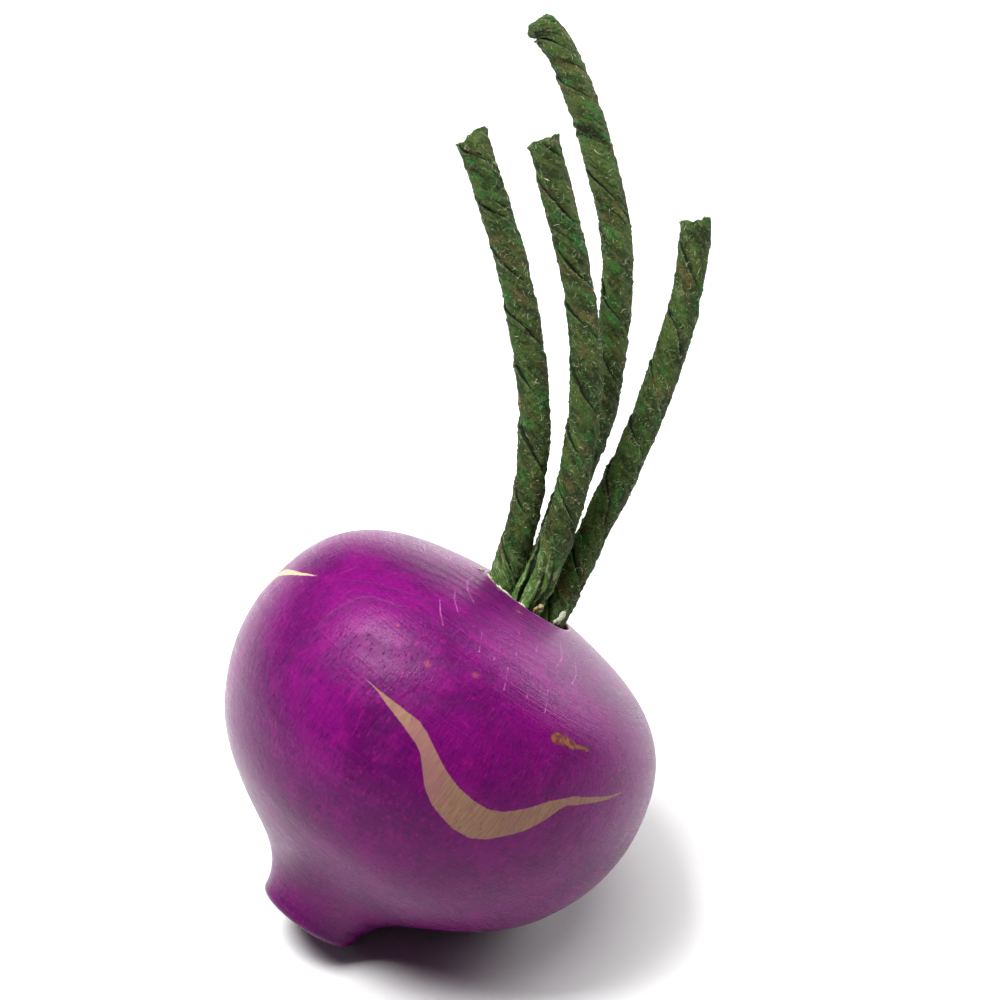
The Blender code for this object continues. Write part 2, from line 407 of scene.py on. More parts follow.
# bare-wood mark, as (angle from its middle in degrees, height in mm) along its
# upper and lower edges; it repeats three times round the root
MARK_MIDDLE = -72.5
MARK_UPPER = [(-42.2, 3.3), (-36.7, 3.25), (-31.2, 3.25), (-23.8, 3.2), (-20.6, 2.7),
              (-16.5, 1.6), (-11.7, 0.35), (-6.5, -0.6), (-1.2, -1.0), (3.0, -1.0),
              (6.9, -0.3), (11.9, 1.5), (16.3, 3.4), (22.3, 5.1), (29.0, 6.0),
              (34.3, 6.7), (38.3, 7.4), (42.2, 8.0)]
MARK_LOWER = [(-42.2, 3.3), (-36.4, 2.95), (-31.6, 2.3), (-25.4, 1.5), (-21.3, 0.8),
              (-18.9, 0.2), (-15.6, -1.6), (-13.0, -3.0), (-9.5, -4.1), (-6.2, -4.7),
              (-1.2, -5.3), (3.9, -5.2), (7.6, -4.3), (11.0, -2.9), (14.7, -1.2),
              (17.9, 1.0), (20.3, 3.0), (22.0, 3.8), (28.7, 5.1), (35.7, 6.45),
              (42.2, 8.0)]


def root_material():
    g = Graph("stained_wood_satin")
    p = g.root_mm()
    x, y, z = g.xyz(p)
    run = g.attribute("run")
    radius = g.math('SQRT', g.add(g.mul(x, x), g.mul(y, y)))
    angle = g.mul(g.math('ARCTAN2', y, x), 180.0 / math.pi)

    # ---- the timber: growth rings about a pith line beside the root
    warp = g.noise(p, 0.075, 3.0, 0.55)
    pith = g.combine(g.sub(x, -2.6), g.sub(y, 31.0), 0.0)
    ring = g.add(g.add(g.vec('LENGTH', pith), g.mul(warp, 5.0)), g.mul(z, 0.035))
    phase = g.math('FRACT', g.mul(ring, 1.0 / 2.2))
    early = g.mul(g.ramp(phase, 0.0, 0.12), g.ramp(phase, 0.18, 0.55, 1.0, 0.0))
    # the rings only read clearly where the turned face runs flat to them
    early = g.mul(early, g.ramp(g.math('ABSOLUTE', g.add(angle, 108.0)), 18.0, 50.0, 1.0, 0.16))
    early = g.mul(early, g.ramp(z, -9.0, -1.0, 0.16, 1.0))
    # vessels: long cells along the turning axis, cut as dashes or dots
    drift = g.vec('SCALE', g.noise(p, 0.35, 2.0, 0.5, colour=True), scale=0.35)
    long_cells = g.vec('ADD', g.combine(g.mul(x, 2.9), g.mul(y, 2.9), g.mul(z, 0.46)), drift)
    pore = g.voronoi(long_cells, 1.0)
    size = g.add(g.add(0.085, g.mul(early, 0.15)), g.mul(g.noise(p, 0.16, 1.0), 0.10))
    pores = g.ramp(g.sub(size, pore.outputs["Distance"]), 0.0, 0.07)
    pores = g.mul(pores, g.math('GREATER_THAN', g.xyz(pore.outputs["Color"])[0], 0.36))
    fine = g.voronoi(g.combine(g.mul(x, 5.6), g.mul(y, 5.6), g.mul(z, 1.1)), 1.0)
    fine_pores = g.ramp(fine.outputs["Distance"], 0.13, 0.24, 1.0, 0.0)
    fine_pores = g.mul(fine_pores, g.math('GREATER_THAN', g.xyz(fine.outputs["Color"])[1], 0.42))
    # fibres along the axis
    fibre = g.noise(g.combine(g.mul(x, 3.6), g.mul(y, 3.6), g.mul(z, 0.26)), 1.0, 4.0, 0.66)
    # tool and sanding lines round the root
    around = g.mul(angle, 0.020)
    turn_line = g.noise(g.combine(g.mul(run, 3.0), g.mul(around, 0.7), 3.0), 1.0, 4.0, 0.66)
    turn_fine = g.noise(g.combine(g.mul(run, 8.5), g.mul(angle, 0.065), 9.0), 1.0, 3.0, 0.6)
    ends = g.math('MAXIMUM', g.ramp(z, 8.0, 14.5), g.ramp(z, -14.0, -21.0))

    # ---- the bare mark
    u = g.math('WRAP', g.sub(angle, MARK_MIDDLE), 60.0, -60.0)
    edge_wander = g.mul(g.sub(g.noise(p, 1.6, 2.0, 0.6), 0.5), 0.20)
    hw = g.add(z, edge_wander)

    def unit(points):
        return [((a + 60.0) / 120.0, (h + 20.0) / 40.0) for a, h in points]

    at = g.mul(g.add(u, 60.0), 1.0 / 120.0)
    upper = g.sub(g.mul(g.curve(at, unit(MARK_UPPER)), 40.0), 20.0)
    lower = g.sub(g.mul(g.curve(at, unit(MARK_LOWER)), 40.0), 20.0)
    inside = g.math('MINIMUM', g.sub(upper, hw), g.sub(hw, lower))
    inside = g.math('MINIMUM', inside, g.sub(42.2, g.math('ABSOLUTE', u)))
    bare = g.ramp(inside, -0.03, 0.10)

    # ---- colours
    cloud = g.noise(p, 0.085, 3.0, 0.55)
    blot = g.noise(p, 0.32, 4.0, 0.62)
    fleck = g.noise(g.combine(g.mul(x, 2.4), g.mul(y, 2.4), g.mul(z, 0.75)), 1.0, 3.0, 0.65)
    stain = g.mix(g.ramp(cloud, 0.36, 0.64), (0.112, 0.0026, 0.097), (0.190, 0.0032, 0.150))
    stain = g.mix(g.mul(g.ramp(blot, 0.47, 0.72), 0.50), stain, (0.255, 0.0040, 0.182))
    stain = g.mix(g.mul(g.ramp(fleck, 0.55, 0.70), 0.62), stain, (0.330, 0.0060, 0.185))
    stain = g.mix(g.mul(g.ramp(fleck, 0.30, 0.45, 1.0, 0.0), 0.55), stain, (0.062, 0.0022, 0.066))
    stain = g.mix(g.mul(g.ramp(fibre, 0.50, 0.66), 0.50), stain, (0.058, 0.0022, 0.062))
    stain = g.mix(g.mul(g.ramp(turn_line, 0.53, 0.74), g.add(0.14, g.mul(ends, 0.26))),
                  stain, (0.310, 0.018, 0.245))
    stain = g.mix(g.mul(g.ramp(turn_fine, 0.30, 0.42, 1.0, 0.0), g.add(0.20, g.mul(ends, 0.45))),
                  stain, (0.060, 0.0030, 0.070))
    stain = g.mix(g.mul(early, 0.26), stain, (0.062, 0.0025, 0.070))
    stain = g.mix(g.mul(fine_pores, 0.42), stain, (0.060, 0.0030, 0.070))
    stain = g.mix(g.mul(pores, 0.55), stain, (0.040, 0.0025, 0.050))
    # paler short dashes, stronger toward both sides away from the front: partly stain worn thin, partly a painted rim
    # reflection
    worn = g.ramp(g.noise(g.combine(g.mul(x, 3.8), g.mul(y, 3.8), g.mul(z, 1.1)), 1.0, 3.0, 0.7), 0.60, 0.72)
    stain = g.mix(g.mul(worn, g.ramp(g.math('ABSOLUTE', g.sub(angle, -72.0)), 30.0, 75.0, 0.02, 0.20)),
                  stain, (0.46, 0.050, 0.36))

    stain = g.vec('SCALE', stain, scale=0.60)

    bare_col = g.mix(g.ramp(fibre, 0.35, 0.70), (0.210, 0.122, 0.073), (0.150, 0.082, 0.052))
    bare_col = g.mix(g.mul(early, 0.30), bare_col, (0.200, 0.105, 0.072))
    bleed = g.mul(g.ramp(g.noise(p, 0.42, 2.0, 0.6), 0.52, 0.72), 0.42)
    here = g.segment(p, surface_point(-94.0, 2.4), surface_point(-84.0, -2.6))
    bleed = g.math('MAXIMUM', bleed, g.ramp(here, 0.8, 2.8, 0.50, 0.0))
    bare_col = g.mix(bleed, bare_col, (0.185, 0.070, 0.090))
    # the copy of the bare mark on the left side, facing the key light, is painted much paler: a painted highlight
    bare_col = g.mix(g.ramp(g.math('ABSOLUTE', g.math('WRAP', g.add(angle, 192.5), 180.0, -180.0)), 46.0, 56.0, 0.70, 0.0), bare_col, (0.480, 0.390, 0.240))
    bare_col = g.mix(g.mul(pores, 0.75), bare_col, (0.110, 0.040, 0.060))
    bare_col = g.mix(g.mul(fine_pores, 0.34), bare_col, (0.200, 0.100, 0.080))
    colour = g.mix(bare, stain, bare_col)

    # ---- thin pale scratches along the root, mostly near the crown
    flat = g.combine(g.mul(angle, 0.155), g.mul(run, 1.0 / 3.4), 0.0)
    cell = g.voronoi(flat, 1.0, dims='2D')
    rel = g.vec('SUBTRACT', flat, cell.outputs["Position"])
    sx, sy, _ = g.xyz(rel)
    cr, cg, cb = g.xyz(cell.outputs["Color"])
    sx = g.add(sx, g.mul(sy, g.mul(g.sub(cb, 0.5), 0.34)))
    thin = g.ramp(g.math('ABSOLUTE', sx), 0.010, 0.040, 1.0, 0.0)
    short = g.ramp(g.math('ABSOLUTE', sy), g.mul(cg, 0.16), g.add(0.10, g.mul(cg, 0.34)), 1.0, 0.0)
    scratch = g.mul(g.mul(thin, short), g.math('GREATER_THAN', cr, 0.36))
    scratch = g.mul(scratch, g.ramp(run, 16.0, 24.0, 1.0, 0.12))
    scratch = g.mul(scratch, g.ramp(run, 1.0, 4.0))
    scratch = g.mul(scratch, g.ramp(g.math('ABSOLUTE', g.add(angle, 85.0)), 50.0, 75.0, 0.20, 1.0))
    colour = g.mix(g.mul(scratch, g.mul(g.add(0.5, cg), 0.22)), colour, (0.50, 0.16, 0.40))

    marks = None
    for a, h, b, k, parts in ((-138.9, 17.65, -110.4, 16.34, 3), (-98.0, 14.78, -94.4, 13.05, 1), (-94.1, 15.98, -89.3, 13.26, 1),
                              (-86.2, 16.58, -83.7, 14.84, 1), (-73.0, 17.52, -76.2, 16.01, 1), (-120.6, 16.2, -109.3, 14.92, 2),
                              (-55.3, 17.51, -66.2, 15.76, 2), (-84.3, 13.39, -82.3, 11.3, 1), (-77.0, 14.23, -75.2, 11.91, 1),
                              (-69.3, 13.69, -68.4, 11.66, 1), (-50.3, 16.85, -58.7, 15.28, 2), (-117.1, 14.75, -108.3, 13.07, 2)):
        for n in range(parts):
            f, t = n / parts, (n + 1) / parts
            line = g.segment(p, surface_point(a + (b - a) * f, h + (k - h) * f), surface_point(a + (b - a) * t, h + (k - h) * t))
            marks = line if marks is None else g.math('MINIMUM', marks, line)
    marks = g.add(marks, g.mul(g.sub(g.noise(p, 2.2, 2.0, 0.6), 0.5), 0.12))
    marks = g.mul(g.ramp(marks, 0.03, 0.12, 1.0, 0.0), g.ramp(g.noise(p, 0.9, 2.0), 0.30, 0.60, 0.12, 0.42))
    colour = g.mix(marks, colour, (0.42, 0.13, 0.34))

    # ---- small faults in the finish: a yellow-brown patch and orange flecks
    patch = None
    wav = g.mul(g.sub(g.noise(p, 1.1, 2.0, 0.6), 0.5), 0.9)
    for a, b, w in (((-62.4, 9.9), (-59.6, 10.1), 0.62), ((-59.6, 10.1), (-56.6, 10.1), 0.46),
                    ((-56.6, 10.1), (-50.9, 10.4), 0.18)):
        d = g.sub(g.add(g.segment(p, surface_point(*a), surface_point(*b)), g.mul(wav, 0.5)), w)
        patch = d if patch is None else g.math('MINIMUM', patch, d)
    patch = g.ramp(patch, -0.10, 0.22, 1.0, 0.0)
    colour = g.mix(g.mul(patch, 0.85), colour,
                   g.mix(g.ramp(g.noise(p, 1.3, 1.0), 0.42, 0.60), (0.165, 0.080, 0.010), (0.110, 0.022, 0.024)))
    for a, h, w, s in ((-92.2, 17.75, 0.34, 0.45), (-88.8, 17.80, 0.22, 0.35), (-91.1, 10.9, 0.42, 0.22),
                       (-103.3, 8.9, 0.46, 0.28), (-117.0, 10.2, 0.28, 0.25), (12.0, 9.0, 0.45, 0.3),
                       (104.0, -2.0, 0.55, 0.35), (48.0, -12.0, 0.40, 0.3), (160.0, 12.5, 0.40, 0.35)):
        c = surface_point(a, h)
        d = g.add(g.vec('DISTANCE', p, c), g.mul(wav, 0.8))
        colour = g.mix(g.mul(g.ramp(d, w * 0.3, w * 1.35, 1.0, 0.0), s), colour, (0.40, 0.10, 0.030))

    # ---- the hole: a pale worn edge, brown unstained wood inside
    rim = g.mul(g.ramp(radius, 6.22, 6.62, 1.0, 0.0), g.ramp(z, 17.2, 17.9))
    rim = g.mul(rim, g.ramp(g.noise(p, 1.4, 2.0), 0.30, 0.62, 0.25, 1.0))
    colour = g.mix(g.mul(rim, 0.50), colour, (0.48, 0.24, 0.36))
    inner = g.mul(g.ramp(radius, 6.00, 6.12, 1.0, 0.0), g.ramp(z, 17.95, 18.1, 1.0, 0.0))
    inner = g.mul(inner, g.ramp(z, 1.0, 1.5))
    depth = g.ramp(z, 12.0, 17.6)
    colour = g.mix(inner, colour, g.mix(depth, (0.180, 0.100, 0.055), (0.080, 0.012, 0.035)))
    g.put(g.bsdf.inputs["Base Color"], colour)

    # ---- surface
    rough = g.add(0.32, g.mul(g.sub(turn_line, 0.5), 0.22))
    rough = g.add(rough, g.mul(g.sub(early, 0.2), 0.14))
    rough = g.add(rough, g.mul(pores, 0.20))
    rough = g.add(rough, g.mul(g.sub(blot, 0.5), 0.16))
    rough = g.add(rough, g.mul(bare, 0.10))
    rough = g.add(rough, g.mul(inner, 0.35))
    g.put(g.bsdf.inputs["Roughness"], g.math('MINIMUM', rough, 0.9))
    g.bsdf.inputs["Specular IOR Level"].default_value = 0.19
    g.bsdf.inputs["Specular Tint"].default_value = (1.0, 0.54, 0.86, 1.0)

    height = g.mul(pores, -0.55)
    height = g.add(height, g.mul(fine_pores, -0.22))
    height = g.add(height, g.mul(early, -0.24))
    height = g.add(height, g.mul(g.sub(fibre, 0.5), 0.42))
    height = g.add(height, g.mul(g.sub(turn_line, 0.5), g.add(0.22, g.mul(ends, 0.50))))
    height = g.add(height, g.mul(g.sub(turn_fine, 0.5), g.add(0.10, g.mul(ends, 0.30))))
    height = g.add(height, g.mul(g.sub(g.noise(p, 0.55, 3.0, 0.6), 0.5), 0.55))
    height = g.add(height, g.mul(scratch, -0.10))
    height = g.add(height, g.mul(bare, -0.12))
    g.put(g.bsdf.inputs["Normal"], g.bump(height, 0.00011, 1.0))
    return g.mat


# ---------------------------------------------------------------------------
# the twisted paper stalks
# ---------------------------------------------------------------------------
def stalk_line(name):
    """The cord's centre line, mm in the frame, at even fine steps."""
    i, j = SEAT[name]
    offset = ACROSS * i + BEHIND * j
    foot = AXIS * CORD_FOOT + offset
    mouth = AXIS * (HOLE_MOUTH - 1.0) + offset
    straight = even_steps([tuple(foot), tuple(mouth)], 4.0)
    free = [tuple(AXIS * (HOLE_MOUTH - 1.8) + offset), tuple(mouth)]
    for side, up, out in ROUTE[name]:
        free.append(tuple(Vector((side, 0.0, 0.0)) + UP_FAN * up + FRONT * out))
    free = smooth_curve(free, 12)[12:]
    line = np.vstack((straight[:-1], even_steps(free, 1.0)))
    line = even_steps(line, 0.22)
    line = blur_line(line, 60)
    return line + np.array(CENTRE)


class Cord:
    """A cord twisted left-handed from two folds of paper strip."""

    # across one fold, from under the neighbour's edge to its own lip
    W = np.concatenate(([0.0, 0.012, 0.028, 0.05, 0.075], np.linspace(0.10, 0.90, 31),
                        [0.925, 0.948, 0.966, 0.981, 0.994, 1.004, 1.008, 0.990]))
    KIND = np.array([2, 2, 2, 0, 0] + [0] * 31 + [0, 0, 0, 0, 1, 1, 2, 2])

    def __init__(self, name, pitch, phase, seed, cut, cut_to, rag, bend=None, bend_run=6.0, loose=0.0,
                 trim=0.0, foot_amount=0.35, foot_top=17.0):
        self.name = name
        self.seed = seed
        self.foot_amount, self.foot_top = foot_amount, foot_top
        line = stalk_line(name)
        span = np.linalg.norm(np.diff(line, axis=0), axis=1).mean()
        s = np.arange(len(line)) * span
        if bend is not None:
            k = np.clip((s - (s[-1] - bend_run)) / bend_run, 0, 1) ** 2
            line = line + k[:, None] * np.array(bend)[None, :]
            line = even_steps(line, 0.15)
        else:
            line = even_steps(line, 0.15)
        tangent = np.gradient(line, axis=0)
        tangent /= np.linalg.norm(tangent, axis=1)[:, None]
        normal = np.zeros_like(line)
        front = np.array(FRONT)
        normal[0] = front - tangent[0] * (front @ tangent[0])
        normal[0] /= np.linalg.norm(normal[0])
        for k in range(1, len(line)):
            v = normal[k - 1] - tangent[k] * (normal[k - 1] @ tangent[k])
            normal[k] = v / np.linalg.norm(v)
        side = np.cross(tangent, normal)
        span = np.linalg.norm(np.diff(line, axis=0), axis=1).mean()
        s = np.arange(len(line)) * span
        self.length = s[-1]

        cols = len(self.W)
        starts = 2
        w = np.tile(self.W, starts)
        strip = np.repeat(np.arange(starts), cols)
        kind = np.tile(self.KIND, starts)
        S = s[:, None] + np.zeros(len(w))[None, :]
        # the twist isn't even: it tightens and slackens along the cord, and
        # a loosely made one hardly turns at its foot
        rate = (1.0 - loose) + loose * smoothstep(15.0, 27.0, s)
        turn = 2 * math.pi / pitch * np.cumsum(rate) * span + 0.60 * noise2(s * 0.085, s * 0 + 0.3, seed) \
            + 0.28 * noise2(s * 0.31, s * 0 + 7.7, seed + 1)
        q = (strip + w)[None, :] * (2 * math.pi / starts) + 0.10 * noise2(S * 0.5, strip[None, :] * 3.0, seed + 2)
        theta = q + phase - turn[:, None]
        W = w[None, :] + 0 * S
        wraps = 2 * math.pi
        # how open each seam is, along the cord
        gap = np.clip(0.74 + 0.62 * noise2(S * 0.24, strip[None, :] * 5.0 + 0.5, seed + 3)
                      + 0.25 * noise2(S * 0.9, strip[None, :] * 7.0 + 0.5, seed + 16), 0.05, 1.1)
        near = loose * smoothstep(21.5, 13.5, S)
        gap = np.maximum(gap, near)
        step = 0.30 * gap
        r = 1.97 - step * np.clip(1 - W, 0, 1) ** 3.0
        r = r + 0.05 * gap * smoothstep(0.90, 1.0, W)
        sunk = (0.27 * gap + 0.03) * np.where(kind == 2, 1.0, 0.0)[None, :]
        r = r - sunk
        r = r - 0.10 * gap * np.exp(-((W - 0.06) / 0.05) ** 2)
        soft = (kind == 0)[None, :] * 1.0
        # creases that run with the folds: sharp little valleys, here and there; their darkness is kept for the colour
        # as painted shade
        for n, (count, drift, depth, often) in enumerate(((5, 0.10, 0.27, 0.0), (9, 0.22, 0.17, -0.05), (15, 0.40, 0.10, -0.1))):
            crease = noise2(q * count / math.pi, S * drift + 3 + n, seed + 4 + 30 * n, wrap=2 * count)
            patchy = np.clip(noise2(S * 0.42, q * 3 / math.pi, seed + 5 + 30 * n) - often, 0, 1) ** 0.7
            r = r - soft * depth * np.clip(1 - np.abs(crease) * 6.5, 0, 1) * patchy
            crease_shade = np.clip(1 - np.abs(crease) * 5.5, 0, 1) * patchy * soft * (depth / 0.27)
            dark = crease_shade if n == 0 else np.maximum(dark, crease_shade)
        # lumps, puckers and the rough face of the paper
        r = r + 0.060 * noise2(theta * 3 / wraps + 30, S * 0.22, seed + 6, wrap=3)
        r = r + 0.050 * noise2(theta * 12 / wraps + 24, S * 0.95, seed + 7, wrap=12)
        r = r + 0.042 * noise2(theta * 26 / wraps + 52, S * 2.1, seed + 8, wrap=26)
        fuzz = noise2(theta * 48 / wraps + 96, S * 3.9, seed + 17, wrap=48)
        r = r + 0.036 * fuzz + 0.085 * np.clip(fuzz - 0.40, 0, 1) * 2.0
        r = r + 0.05 * noise2(S * 0.16, S * 0 + 8.8, seed + 9)
        # the fold edges are bruised here and there
        lipmask = np.clip((W - 0.9) / 0.1, 0, 1)
        r = r + lipmask * 0.06 * noise2(S * 1.3, strip[None, :] * 9.0, seed + 10)
        r = r + lipmask * 0.035 * noise2(S * 4.3, strip[None, :] * 9.0, seed + 18)
        # an untwisted foot opens into flat leaves with deep gaps between
        if loose:
            fold = noise2(q * 3.5 / math.pi, S * 0.05 + 2.0, seed + 11, wrap=7)
            valley = np.clip(1 - np.abs(fold) * 3.4, 0, 1)
            r = r * (1 + 0.13 * near) - 1.10 * near * valley ** 1.3
            fold2 = noise2(q * 8 / math.pi, S * 0.10 + 5.0, seed + 19, wrap=16)
            r = r - 0.28 * near * np.clip(1 - np.abs(fold2) * 4.0, 0, 1)
        # ragged, slanted cut end
        end = (cut * np.cos(theta - cut_to) - trim + rag * noise2(theta * 9 / wraps + 40, S * 0 + 1.5, seed + 12, wrap=9)
               + 0.6 * rag * noise2(theta * 23 / wraps + 90, S * 0 + 4.5, seed + 13, wrap=23))
        shift = end * smoothstep(self.length - 4.5, self.length, S)
        # the rolled paper opens a little and crumples at the cut
        tip = smoothstep(self.length - 2.2, self.length, S)
        r = r * (1 + 0.02 * tip + 0.13 * tip * noise2(theta * 5 / wraps + 60, S * 0.5 + 6.1, seed + 14, wrap=5)
                 + 0.08 * tip * noise2(theta * 11 / wraps + 33, S * 0.9 + 6.1, seed + 15, wrap=11))
        s2 = S + shift
        idx = s2 / span
        lo = np.clip(np.floor(idx).astype(int), 0, len(s) - 2)
        f = (idx - lo)[:, :, None]
        centre = line[lo] * (1 - f) + line[lo + 1] * f
        g = np.clip(f, 0, 1)
        nn = normal[lo] * (1 - g) + normal[lo + 1] * g
        bb = side[lo] * (1 - g) + side[lo + 1] * g
        ct, st = np.cos(theta)[:, :, None], np.sin(theta)[:, :, None]
        P = centre + r[:, :, None] * (nn * ct + bb * st)
        self.P, self.S, self.theta, self.kind, self.r = P, S, theta, kind, r
        self.radial = nn * ct + bb * st
        self.tangent = tangent[lo]
        self.line, self.t_end = line, tangent[-1]
        self.u = (strip + np.clip(w, 0, 1))[None, :] + 0 * S
        self.w, self.gap, self.fuzz, self.dark = W, gap + 0 * S, fuzz, dark

    def build(self):
        rows, cols = self.S.shape
        verts = [self.P.reshape(-1, 3)]
        kind = self.kind[None, :] + 0 * self.S
        # lip: the fold lips, painted paler as a painted highlight; deep: the seams, the edge sunk under the neighbour
        # and the creases, painted near black as painted shade
        lip = np.where(kind == 1, 1.0, np.clip((self.w - 0.93) / 0.07, 0, 1) * 0.55) * np.clip(self.gap, 0, 1)
        lip = [np.where(kind == 2, 0.0, lip).ravel()]
        deep = np.where(kind == 2, 1.0, np.clip(1 - self.w / 0.11, 0, 1) * 0.8) * np.clip(0.25 + self.gap, 0, 1)
        deep = [np.maximum(deep, 0.85 * self.dark).ravel()]
        j = np.arange(cols)
        k = (j + 1) % cols
        base = (np.arange(rows - 1) * cols)[:, None]
        faces = np.stack([base + j, base + k, base + cols + k, base + cols + j], axis=2).reshape(-1, 4).tolist()
        # the cut end: folded layers, uneven in height, sunk towards the middle; raised layers are painted paler and
        # sunk ones darker, a painted highlight and painted shade
        ring = self.P[-1]
        theta = self.theta[-1]
        middle = self.line[-1] - self.t_end * 0.30
        count = rows * cols
        factors = (0.95, 0.87, 0.77, 0.66, 0.55, 0.44, 0.33, 0.22, 0.12)
        prev = (rows - 1) * cols
        for n, f in enumerate(factors):
            lift = 0.46 * noise2(theta * 7 / (2 * math.pi) + 11 * n, theta * 0 + f * 6.5, self.seed + 20, wrap=7)
            lift = lift + 0.34 * np.sin(2.0 * theta + 11.0 * f + self.seed) * (1 - f)
            lift = lift + 0.16 * noise2(theta * 19 / (2 * math.pi) + 5 * n, theta * 0 + f * 17.0, self.seed + 21, wrap=19)
            lift = (lift - 0.75 * (1 - f)) * (1.0 if n > 1 else 0.25)
            verts.append(middle + (ring - middle) * f + self.t_end * lift[:, None])
            lip.append(np.clip(0.35 + lift * 1.6, 0, 1))
            deep.append(np.clip(0.45 - lift * 1.8, 0, 1))
            faces += np.stack([prev + j, prev + k, count + k, count + j], axis=1).tolist()
            prev = count
            count += cols
        verts.append((middle - self.t_end * 0.6)[None, :])
        lip.append(np.zeros(1))
        deep.append(np.ones(1))
        faces += [(prev + a, prev + (a + 1) % cols, count) for a in range(cols)]
        count += 1
        # the hidden foot is closed flat
        verts.append(self.line[0][None, :])
        lip.append(np.zeros(1))
        deep.append(np.ones(1))
        faces += [(count, (a + 1) % cols, a) for a in range(cols)]
        allv = np.vstack(verts)
        obj = new_mesh_object(self.name + "_cord", allv * MM, faces, sharp=70)
        point_attribute(obj, "lip", np.concatenate(lip))
        point_attribute(obj, "deep", np.concatenate(deep))
        # foot: the cord's foot and its cut tip, where the colour is painted brighter: painted light
        foot = smoothstep(self.foot_top, 13.8, self.S).ravel() * self.foot_amount
        end = smoothstep(self.length - 1.4, self.length, self.S).ravel() * 0.35
        point_attribute(obj, "foot", np.concatenate([np.maximum(foot, end), np.full(count + 1 - rows * cols, 0.35)]))
        point_attribute(obj, "along", np.concatenate([self.S.ravel(), np.full(count + 1 - rows * cols, self.length)]))
        point_attribute(obj, "around", np.concatenate([self.u.ravel(), np.tile(self.u[-1], len(factors)), np.zeros(2)]))
        return obj

    def fibres(self, number, tip_number):
        """Short loose paper fibres lying on and standing off the surface."""
        rng = np.random.RandomState(self.seed + 50)
        rows, cols = self.S.shape
        steps, sides = 6, 3
        lo_row = int(rows * (13.3 / self.length))
        i = rng.randint(lo_row, rows - 3, number)
        j = rng.randint(0, cols, number)
        j = np.where(self.kind[j] == 2, (j + 9) % cols, j)
        p, up, t = self.P[i, j], self.radial[i, j], self.tangent[i, j]
        rad = self.r[i, j]
        around = np.cross(up, t)
        lean = np.radians(rng.normal(50.0, 55.0, number))[:, None]
        run = t * np.sin(lean) - around * np.cos(lean)
        off = np.cross(up, run)
        length = (0.20 + 0.85 * rng.rand(number) ** 2.2)[:, None]
        curl = rng.normal(0.0, 0.30, number)[:, None] * length
        wave = rng.normal(0.0, 0.05, number)[:, None]
        stands = (rng.rand(number) < 0.20)[:, None]
        lift = np.where(stands, 0.12 + 0.34 * rng.rand(number)[:, None] ** 1.5, 0.015 + 0.05 * rng.rand(number)[:, None])
        thick = 0.011 + 0.022 * rng.rand(number) ** 2.0
        shade = rng.rand(number)
        lines = []
        for u in np.linspace(0, 1, steps):
            h = np.where(stands, lift * u ** 1.4, lift * math.sin(math.pi * u)) + 0.008
            fall = ((u - 0.3) * length * np.cos(lean)) ** 2 / (2 * rad[:, None])
            lines.append(p + up * (h - fall * np.where(stands, 0.3, 0.95)) + run * (u - 0.3) * length
                         + off * (curl * (u - 0.5) ** 2 * 2.0 + wave * math.sin(5.0 * u)))
        first = np.stack(lines, axis=1)
        # frayed bits at the cut
        j = rng.randint(0, cols, tip_number)
        p, out = self.P[-1, j], self.radial[-1, j]
        run = self.t_end * (0.55 + 0.5 * rng.rand(tip_number))[:, None] + out * rng.normal(0.15, 0.45, tip_number)[:, None] \
            + np.cross(out, self.t_end) * rng.normal(0, 0.5, tip_number)[:, None]
        run /= np.linalg.norm(run, axis=1)[:, None]
        bend = np.cross(run, out) * rng.normal(0, 0.35, tip_number)[:, None] + out * rng.normal(0, 0.3, tip_number)[:, None]
        length = (0.2 + 0.5 * rng.rand(tip_number) ** 1.5)[:, None]
        second = np.stack([p - self.t_end * 0.12 + run * length * u + bend * length * u * u
                           for u in np.linspace(0, 1, steps)], axis=1)
        lines = np.concatenate([first, second])
        thick = np.concatenate([thick, 0.022 + 0.026 * rng.rand(tip_number)])
        shade = np.concatenate([shade, 0.7 * rng.rand(tip_number)])
        n = len(lines)
        tan = np.gradient(lines, axis=1)
        tan /= np.linalg.norm(tan, axis=2)[:, :, None] + 1e-9
        a = np.cross(tan, np.array([0.3, 0.5, 0.8]))
        a /= np.linalg.norm(a, axis=2)[:, :, None] + 1e-9
        b = np.cross(tan, a)
        taper = 1.0 - 0.55 * np.abs(2.0 * np.arange(steps) / (steps - 1) - 0.8)
        rad = (thick[:, None] * taper[None, :])[:, :, None]
        rings = [lines + rad * (a * math.cos(2 * math.pi * m / sides) + b * math.sin(2 * math.pi * m / sides))
                 for m in range(sides)]
        verts = np.stack(rings, axis=2).reshape(-1, 3)
        block = (np.arange(n) * steps * sides)[:, None]
        faces = []
        for k in range(steps - 1):
            for m in range(sides):
                q = (m + 1) % sides
                quad = np.array([k * sides + m, (k + 1) * sides + m, (k + 1) * sides + q, k * sides + q])
                faces += (block + quad).tolist()
        faces += (block + np.array([0, 1, 2])).tolist()
        faces += (block + np.array([2, 1, 0]) + (steps - 1) * sides).tolist()
        obj = new_mesh_object(self.name + "_fibres", verts * MM, faces)
        point_attribute(obj, "tone", np.repeat(shade, steps * sides))
        return obj


